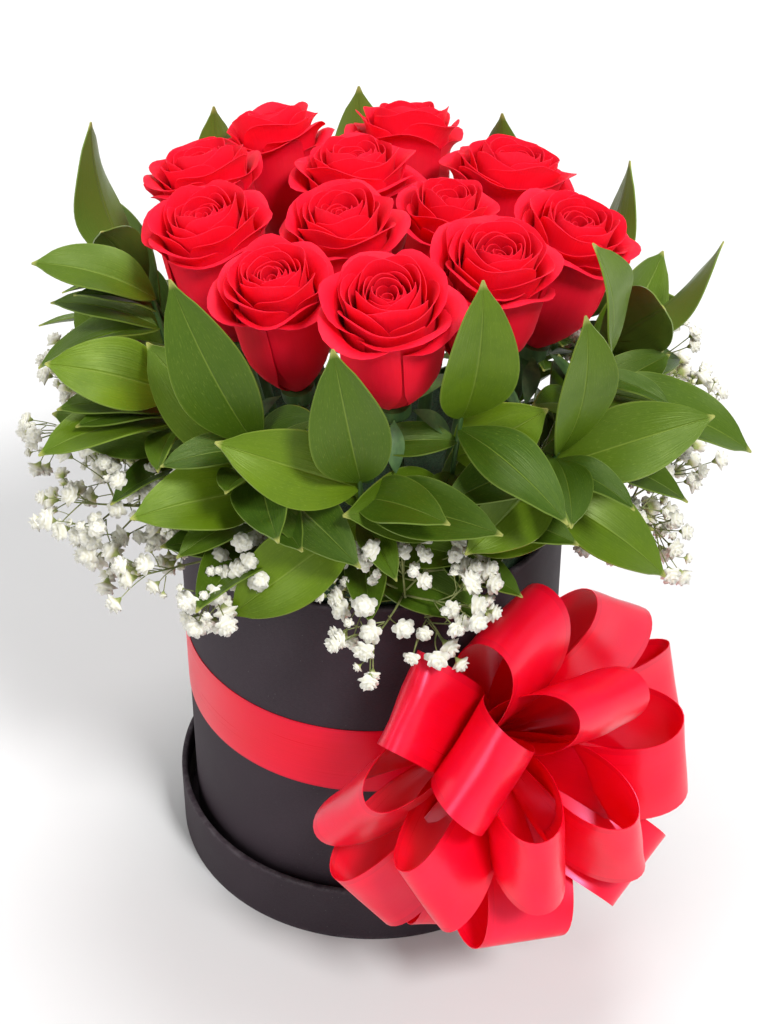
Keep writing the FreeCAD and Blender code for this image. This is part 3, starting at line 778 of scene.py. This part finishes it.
def bearingVector(bearing, pitch):
    level = math.cos(math.radians(pitch))
    turn = math.radians(bearing)
    return np.array((level * math.sin(turn), -level * math.cos(turn), math.sin(math.radians(pitch))))


def ruscusSprig(number):  # the stem and main leaves, as the CAD sprig has them
    chance = random.Random(leafPlan["seed"] * 100 + number)
    solids = solidsOf("ruscus_%02d" % number)
    stem = min(solids, key=lambda points: rodEnds(points)[2])
    low, high, thick = rodEnds(stem)
    if low[2] > high[2]:
        low, high = high, low
    stemWay = unit(high - low)
    leaves = []
    for points in solids:
        if points is stem:
            continue
        gap = np.linalg.norm(np.cross(points - low, stemWay), axis=1)
        fromTop = np.linalg.norm(points - high, axis=1)
        base = points[fromTop.argmin() if fromTop.min() < 0.001 else gap.argmin()]
        tip = points[np.linalg.norm(points - base, axis=1).argmax()]
        chord = unit(tip - base)
        middle = points.mean(axis=0) - base
        normal = unit(middle - chord * (middle @ chord))
        shown = max(0.0, normal @ bearingVector(0, 0)) ** 0.5 * max(chord[2], 0.0)
        normal = normal + bearingVector(0, 15) * leafPlan["showFace"] * shown
        normal = unit(normal - chord * (normal @ chord))
        width = np.ptp((points - base) @ np.cross(chord, normal))
        leaves.append((*leafGrid(base, tip, normal, width, chance), chance.uniform(*leafPlan["tint"])))
    return {"low": low, "high": high, "thick": thick, "leaves": leaves, "chance": chance}


wallInner, wallOuter = radiiOf("box_wrap")
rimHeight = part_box("box_wrap")[1].z


def hasRoom(spots, taken):  # clear of other leaves, of the box wall and of the roses' way out
    gap = leafPlan["gap"]
    under, around = leafPlan["bloomRoom"]
    away = np.linalg.norm(spots[:, :2], axis=1)
    if ((spots[:, 2] < rimHeight + gap) & (away > wallInner - gap) & (away < wallOuter + gap)).any():
        return False
    for seat, axis, radius in roses:
        along = (spots - seat) @ axis
        off = np.linalg.norm(spots - seat - np.outer(along, axis), axis=1)
        if ((off < leafPlan["stemRoom"]) | ((along > -under) & (off < radius + around))).any():
            return False
    near = taken[((taken > spots.min(axis=0) - gap) & (taken < spots.max(axis=0) + gap)).all(axis=1)]
    return np.linalg.norm(spots[:, None] - near[None], axis=2).min(initial=1.0) > gap


def addFillers(sprig, taken):  # short dark leaves lower on the stem
    chance = sprig["chance"]
    low, reach = sprig["low"], sprig["high"] - sprig["low"]
    planted = leafPlan["planted"] / np.linalg.norm(reach)
    outward = math.degrees(math.atan2(sprig["high"][0], -sprig["high"][1]))
    found = 0
    for attempt in range(leafPlan["attempts"]):
        bearing = outward + chance.uniform(*leafPlan["fillerBearing"])
        way = bearingVector(bearing, chance.uniform(*leafPlan["fillerPitch"]))
        base = low + reach * chance.uniform(planted, leafPlan["highest"]) + way * sprig["thick"] / 2
        normal = bearingVector(outward, 0) * 0.6 + upright
        normal = unit(normal - way * (normal @ way))
        length = chance.uniform(*leafPlan["fillerLength"])
        grid, uv = leafGrid(base, base + way * length, normal, length * leafPlan["fillerWidth"], chance)
        spots = grid[4::4, ::3].reshape(-1, 3)
        if not hasRoom(spots, taken):
            continue
        sprig["leaves"].append((grid, uv, chance.uniform(*leafPlan["fillerTint"])))
        taken = np.concatenate([taken, spots])
        found += 1
        if found == leafPlan["fillers"]:
            break
    return taken


sprigs = [ruscusSprig(number) for number in range(1, 14)]
taken = np.concatenate([leaf[0][::2, ::2].reshape(-1, 3) for sprig in sprigs for leaf in sprig["leaves"]])
for label in ("bow_loops_outer", "bow_loops_middle"):
    taken = np.concatenate([taken, np.concatenate(solidsOf(label))[::5]])
for number, sprig in enumerate(sprigs, start=1):
    taken = addFillers(sprig, taken)
    skin = Skin()
    for grid, uv, tint in sprig["leaves"]:
        skin.sheet(grid, leafPlan["thickness"], uv, tint)
    steps = np.linspace(0, 1, 9)
    half = sprig["thick"] / 2
    path = sprig["low"] + np.outer(steps, sprig["high"] - sprig["low"])
    skin.tube(path, np.interp(steps, (0, 1), (half, half * leafPlan["stemTaper"])), 8, slot=1)
    piece = skin.build("ruscusSprig%02d" % number, [leafGreen, stemGreen])
    settle(piece, "arrangement", "ruscus_leaf", "ruscus_%02d" % number)
print("ruscus ready:", sum(len(sprig["leaves"]) for sprig in sprigs), "leaves")


# gypsophila
mistPlan = {
    "sprigs": 6, "size": 0.0094,
    "rodLength": 0.012, "rodThickness": 0.003,  # a longer and thinner solid is a twig
    "headBreadth": (0.92, 1.08),  # share of the size, for the flower on a CAD twig
    "branches": 7, "branchFork": (0.40, 0.85),  # where on the twig a branch starts
    "branchLength": (0.007, 0.018), "branchLean": (22, 62), "branchTurn": 2.1,
    "branchBreadth": (1.0, 0.9, 0.8, 0.7),
    "budChance": 0.6, "budLength": 0.006, "budLean": 50, "budBreadth": (0.38, 0.55),
    "sag": 0.0012,
    "petals": 5, "petalPoints": 4, "ruffle": 0.05, "uneven": 0.09,
    "seed": 3,
}


def floretShape():  # a double flower one unit across: three frills of petals on a green cup
    rings = (  # height, radius at a petal, radius between petals, turn in petals, tint
        # tint 0.55 to 0.6 on the valleys between frills and on the middle gives them the darker fold colour,
        # painted shade
        (0, 0.05, 0.05, 0, 0), (0.20, 0.16, 0.16, 0, 0.10), (0.36, 0.50, 0.34, 0, 1),
        (0.44, 0.31, 0.27, 0.2, 0.55), (0.58, 0.42, 0.27, 0.5, 1), (0.55, 0.21, 0.18, 0.4, 0.55),
        (0.71, 0.25, 0.12, 0.2, 1), (0.63, 0.06, 0.06, 0, 0.60),
    )
    petals = mistPlan["petals"]
    count = petals * mistPlan["petalPoints"]
    points, tints = [], []
    for height, tipRadius, gapRadius, turn, tint in rings:
        frill = (tipRadius - gapRadius) / tipRadius
        for i in range(count):
            angle = 2 * math.pi * i / count
            lobe = abs(math.cos(petals / 2 * angle + turn * math.pi)) ** 0.7
            reach = gapRadius + (tipRadius - gapRadius) * lobe
            reach *= 1 + mistPlan["uneven"] * (frill > 0) * math.sin(2 * angle + 9 * height)
            ruffle = math.sin(3 * angle + 7 * height) + 0.5 * math.cos(7 * angle)
            lift = mistPlan["ruffle"] * (frill > 0.2) * ruffle
            points.append((reach * math.cos(angle), reach * math.sin(angle), height + lift))
            tints.append(tint)
    mesh = bpy.data.meshes.new("floretShape")
    mesh.from_pydata(points, [], ringFaces(0, len(rings), count), shade_flat=False)
    mesh.attributes.new("tint", "FLOAT", "POINT").data.foreach_set("value", tints)
    return addObject("floretShape", mesh)


def floretTree():  # sets one flower on each point, facing its own way
    tree = bpy.data.node_groups.new("floretsOnTwigs", "GeometryNodeTree")
    for label, kind, way in (
        ("Geometry", "NodeSocketGeometry", "INPUT"), ("Floret", "NodeSocketObject", "INPUT"),
        ("Size", "NodeSocketFloat", "INPUT"), ("Seed", "NodeSocketInt", "INPUT"),
        ("Material", "NodeSocketMaterial", "INPUT"), ("Geometry", "NodeSocketGeometry", "OUTPUT"),
    ):
        tree.interface.new_socket(label, in_out=way, socket_type=kind)
    given = put(tree, "NodeGroupInput").outputs
    dots = put(tree, "GeometryNodeMeshToPoints", {"Mesh": given["Geometry"]})
    flower = put(tree, "GeometryNodeObjectInfo", {"Object": given["Floret"]})
    facing = put(tree, "GeometryNodeInputNamedAttribute", {"Name": "facing"}, data_type="FLOAT_VECTOR")
    breadth = put(tree, "GeometryNodeInputNamedAttribute", {"Name": "breadth"}, data_type="FLOAT")
    aimed = put(tree, "FunctionNodeAlignRotationToVector", {"Vector": facing.outputs["Attribute"]}, axis="Z")
    spin = put(tree, "FunctionNodeRandomValue", {"Seed": given["Seed"]}, data_type="FLOAT")
    spin.inputs[3].default_value = 6.283  # the largest turn
    turn = put(tree, "FunctionNodeAxisAngleToRotation", {"Axis": (0, 0, 1), "Angle": spin.outputs[1]})
    turned = put(tree, "FunctionNodeRotateRotation", {
        "Rotation": aimed.outputs[0], "Rotate By": turn.outputs[0],
    }, rotation_space="LOCAL")
    placed = put(tree, "GeometryNodeInstanceOnPoints", {
        "Points": dots.outputs[0], "Instance": flower.outputs["Geometry"], "Rotation": turned.outputs[0],
        "Scale": sums(tree, "MULTIPLY", breadth.outputs["Attribute"], given["Size"]),
    })
    real = put(tree, "GeometryNodeRealizeInstances", {0: placed.outputs[0]})
    painted = put(tree, "GeometryNodeSetMaterial", {
        "Geometry": real.outputs[0], "Material": given["Material"],
    })
    put(tree, "NodeGroupOutput", {0: painted.outputs[0]})
    return tree


def tiltedFrom(way, lean, turn):  # lean in degrees, turn in radians
    side, other = sideways(way)
    lean = math.radians(lean)
    return unit(way * math.cos(lean) + (side * math.cos(turn) + other * math.sin(turn)) * math.sin(lean))


def mistRods(label):  # a sprig's stem, its twigs, and the middles of its flower heads
    rods, heads = [], []
    for points in solidsOf(label):
        low, high, thick = rodEnds(points)
        if np.linalg.norm(high - low) > mistPlan["rodLength"] and thick < mistPlan["rodThickness"]:
            rods.append((low, high, thick))
        else:
            heads.append(points.mean(axis=0))
    rods.sort(key=lambda rod: np.linalg.norm(rod[1] - rod[0]), reverse=True)
    return rods[0], rods[1:], heads


def gypsophila():
    chance = random.Random(mistPlan["seed"])
    labels = ["gypsophila_%02d" % number for number in range(1, mistPlan["sprigs"] + 1)]
    twigs = Skin()
    places, facings, breadths = [], [], []

    def twig(start, end, way, sag, radii, steps, sides):  # a thin rod, bowed to one side
        share = np.linspace(0, 1, steps).reshape(-1, 1)
        path = start + (end - start) * share + sideways(way)[0] * sag * 4 * share * (1 - share)
        twigs.tube(path, np.linspace(*radii, steps), sides)

    def bloomAt(spot, way, breadth):
        places.append(spot)
        facings.append(way)
        breadths.append(breadth)

    for label in labels:
        (low, high, thick), rods, heads = mistRods(label)
        if low[2] >= high[2]:
            low, high = high, low
        twig(low, high, unit(high - low), 0.0, (thick / 2, thick / 3), 5, 6)
        for start, end, thin in rods:
            headGap = [min(np.linalg.norm(head - spot) for head in heads) for spot in (start, end)]
            if headGap[0] < headGap[1]:
                start, end = end, start
            way = unit(end - start)
            root = start - way * 0.0008  # starts inside the stem
            twig(root, end, way, mistPlan["sag"] * chance.uniform(-1, 1), (thin / 2, thin / 3), 5, 5)
            bloomAt(end, way, chance.uniform(*mistPlan["headBreadth"]))
            for branch in range(mistPlan["branches"]):
                fork = start + (end - start) * chance.uniform(*mistPlan["branchFork"])
                lean = chance.uniform(*mistPlan["branchLean"])
                heading = tiltedFrom(way, lean, mistPlan["branchTurn"] * branch + chance.uniform(-0.6, 0.6))
                finish = fork + heading * chance.uniform(*mistPlan["branchLength"])
                twig(fork, finish, heading, mistPlan["sag"] / 2, (thin / 3, thin / 4), 4, 4)
                bloomAt(finish, heading, chance.choice(mistPlan["branchBreadth"]))
                if chance.random() < mistPlan["budChance"]:
                    bud = tiltedFrom(heading, mistPlan["budLean"], chance.uniform(*anyTurn))
                    knot = fork + (finish - fork) * 0.6
                    budEnd = knot + bud * mistPlan["budLength"]
                    twig(knot, budEnd, bud, mistPlan["sag"] / 4, (thin / 4, thin / 5), 4, 4)
                    bloomAt(budEnd, bud, chance.uniform(*mistPlan["budBreadth"]))
    mesh = bpy.data.meshes.new("floretPoints")
    mesh.from_pydata([tuple(spot) for spot in places], [], [])
    facing = mesh.attributes.new("facing", "FLOAT_VECTOR", "POINT").data
    facing.foreach_set("vector", np.array(facings, np.float32).ravel())
    breadth = mesh.attributes.new("breadth", "FLOAT", "POINT").data
    breadth.foreach_set("value", np.array(breadths, np.float32))
    dots = addObject("floretPoints", mesh)
    shape = floretShape()
    modifier = dots.modifiers.new("florets", "NODES")
    modifier.node_group = floretTree()
    wanted = {"Floret": shape, "Size": mistPlan["size"], "Seed": mistPlan["seed"], "Material": mistWhite}
    for socket in modifier.node_group.interface.items_tree:
        if socket.in_out == "INPUT" and socket.name in wanted:
            modifier[socket.identifier] = wanted[socket.name]
    bpy.context.view_layer.update()
    made = bpy.data.meshes.new_from_object(dots.evaluated_get(bpy.context.evaluated_depsgraph_get()))
    made.name = "mistFlorets"
    for spare in (dots, shape):
        bpy.data.objects.remove(spare)
    florets = addObject("mistFlorets", made)
    settle(twigs.build("mistTwigs", [twigTan]), "arrangement", "gypsophila_white", *labels)
    settle(florets, "arrangement", "gypsophila_white")
    return len(places)


print("gypsophila ready:", gypsophila(), "florets")


# pull bow
bowPlan = {
    "ribbon": 0.033,  # width of the strip
    "rows": 45, "columns": 9, "thickness": 0.0003,
    "fullness": (0.62, 0.94), "twist": 24.0, "skew": 0.005, "bend": 0.05, "ripple": 0.00045,
    "pleats": 0.0016, "pleatReach": 0.014,  # how far out of the tie the pleats fade
    "widening": 0.36,  # how fast the strip opens out from the tie
    "tailRows": 28, "tailColumns": 11, "tailPleats": 0.0014, "tailWave": 0.0022,
    "tieSides": 72, "tiePleats": 12,
    "seed": 8,
}
tipDepth = 0.0006
tieLow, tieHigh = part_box("bow_tie")
tiePoints = solidsOf("bow_tie")[0]
loopSolids = {label: solidsOf(label) for label in ("bow_loops_outer", "bow_loops_middle", "bow_loops_inner")}


def bowHeart():  # the middle of the tie's knob, where the loops all start
    outward = unit(np.array([(tieLow.x + tieHigh.x) / 2, (tieLow.y + tieHigh.y) / 2, 0]))
    reach = (tiePoints @ outward).max()
    radius = (tieHigh.z - tieLow.z) / 2
    return outward * (reach - radius) + upright * (tieLow.z + tieHigh.z) / 2, outward, radius


heart, bowOutward, tieRadius = bowHeart()


def opened(width, half):  # half the strip's width, gathered at the tie and then full
    return width / 2 * np.tanh(half / (width / 2) * 1.35) / math.tanh(1.35)


def loopFrame(points):
    along = unit(points.mean(axis=0) - heart)
    run = (points - heart) @ along
    far = farEnd(points, run, tipDepth)
    corner = far[np.linalg.norm(far - far.mean(axis=0), axis=1).argmax()] - far.mean(axis=0)
    across = unit(corner - along * (corner @ along))
    bulge = np.cross(across, along)
    local = points - heart
    return along, bulge, across, run.max(), np.ptp(local @ bulge), np.ptp(local @ across)


def middleRun(grid):  # distance along the middle line of a strip
    middle = grid[:, grid.shape[1] // 2]
    step = np.linalg.norm(np.diff(middle, axis=0), axis=1)
    return np.concatenate([[0], np.cumsum(step)]).reshape(-1, 1)


def loopGrid(points, chance):
    along, bulge, across, length, thick, width = loopFrame(points)
    start = tieRadius * 0.55
    theta = np.linspace(0.10, 2 * math.pi - 0.10, bowPlan["rows"]).reshape(-1, 1)
    w = np.linspace(-1, 1, bowPlan["columns"]).reshape(1, -1)
    full = chance.uniform(*bowPlan["fullness"])
    reach = (1 - np.cos(theta)) / 2
    x = start + (length - start) * reach
    y = thick / 2 * full / 0.77 * np.sin(theta) * np.sin(theta / 2)  # the curve's own top is 0.77
    half = opened(width, np.minimum(width / 2, 0.0022 + (x - start * 0.6) * bowPlan["widening"]))
    gather = np.exp(-(x - start) / bowPlan["pleatReach"])
    y = y + bowPlan["pleats"] * gather * np.cos(2.5 * math.pi * w + chance.uniform(*anyTurn))
    skew = bowPlan["skew"] * chance.uniform(-1, 1) * np.sin(theta)
    z = half * w + skew
    bend = chance.uniform(-bowPlan["bend"], bowPlan["bend"]) * length
    ripple = bowPlan["ripple"] * np.sin(4.0 * theta + chance.uniform(*anyTurn))
    ripple = ripple * np.cos(1.3 * math.pi * w + chance.uniform(-1, 1))
    y = y + bend * reach ** 2 - 0.0006 * w ** 2 * reach + ripple * reach
    turn = math.radians(bowPlan["twist"]) * chance.uniform(-1, 1) * reach
    flat, up = z * np.cos(turn) - y * np.sin(turn), z * np.sin(turn) + y * np.cos(turn)
    out = x * np.ones_like(w)
    grid = heart + along * out[..., None] + bulge * up[..., None] + across * flat[..., None]
    return grid, stacked(middleRun(grid), half * w)


def bowLoops():
    chance = random.Random(bowPlan["seed"])
    for label, solids in loopSolids.items():
        skin = Skin()
        for points in solids:
            grid, uv = loopGrid(points, chance)
            skin.sheet(grid, bowPlan["thickness"], uv, chance.random())
        parts = label.split("_")
        piece = skin.build(parts[0] + parts[1].title() + parts[2].title(), [ribbonRed])
        settle(piece, "box", "red_satin", label)


def bowTails():
    chance = random.Random(bowPlan["seed"] + 1)
    skin = Skin()
    for points in solidsOf("bow_tails"):
        along = unit(points.mean(axis=0) - heart)
        run = (points - heart) @ along
        far = farEnd(points, run, tipDepth)
        across = unit(far[0] - far[np.linalg.norm(far - far[0], axis=1).argmax()])
        bulge = np.cross(across, along)
        width = np.ptp(points @ across)
        s = np.linspace(0, 1, bowPlan["tailRows"]).reshape(-1, 1)
        w = np.linspace(-1, 1, bowPlan["tailColumns"]).reshape(1, -1)
        start = tieRadius * 0.6
        half = opened(width, 0.002 + (run.max() - start) * s * bowPlan["widening"])
        notch = width / 2 * (1 - np.abs(w)) * ease((s - 0.5) / 0.5)
        x = start + (run.max() - start) * s - notch
        y = bowPlan["tailPleats"] * np.exp(-s * 6) * np.cos(2.5 * math.pi * w)
        y = y + bowPlan["tailWave"] * np.sin(s * 5 + chance.uniform(0, 3)) * s
        grid = heart + along * x[..., None] + bulge * y[..., None] + across * (half * w)[..., None]
        skin.sheet(grid, bowPlan["thickness"], stacked(x, half * w))
    piece = skin.build("bowTails", [ribbonRed])
    settle(piece, "box", "red_satin", "bow_tails")


def bowTie():  # the pleated knot that gathers the loops, and its neck back to the band
    side = np.cross(upright, bowOutward)
    neck = (heart @ bowOutward) - (tiePoints @ bowOutward).min()
    arc = np.linspace(-0.93, 1.45, 12)
    reach = np.concatenate([np.linspace(-neck, -tieRadius * 0.8, 5), tieRadius * np.sin(arc)])
    radii = np.concatenate([np.full(5, tieRadius * 0.58), tieRadius * np.cos(arc)])
    sides = bowPlan["tieSides"]
    turns = np.linspace(0, 2 * math.pi, sides, endpoint=False)
    pleats = 0.94 + 0.06 * np.cos(bowPlan["tiePleats"] * turns)
    points, uv = [], []
    for distance, radius in zip(reach, radii):
        wide = radius * pleats
        ring = np.outer(wide * np.cos(turns), side) + np.outer(wide * np.sin(turns), upright)
        points.append(heart + bowOutward * distance + ring)
        uv.append(np.stack([np.full(sides, distance), turns * tieRadius], axis=1))
    skin = Skin()
    start = skin.keep(np.concatenate(points), np.concatenate(uv))
    skin.addFaces(ringFaces(start, len(reach), sides))
    settle(skin.build("bowTie", [ribbonRed], 60), "box", "red_satin", "bow_tie")


bowLoops()
bowTails()
bowTie()
print("bow ready")

# pale floor, far wider than the picture
floorHalf = 40
floorMesh = bpy.data.meshes.new("paleFloor")
floorCorners = [(x * floorHalf, y * floorHalf, 0) for x, y in ((-1, -1), (1, -1), (1, 1), (-1, 1))]
floorMesh.from_pydata(floorCorners, [], [(0, 1, 2, 3)])
floorMesh.materials.append(floorLook())
floor = addObject("paleFloor", floorMesh)
floor.location.z = cadLow.z - 0.0002
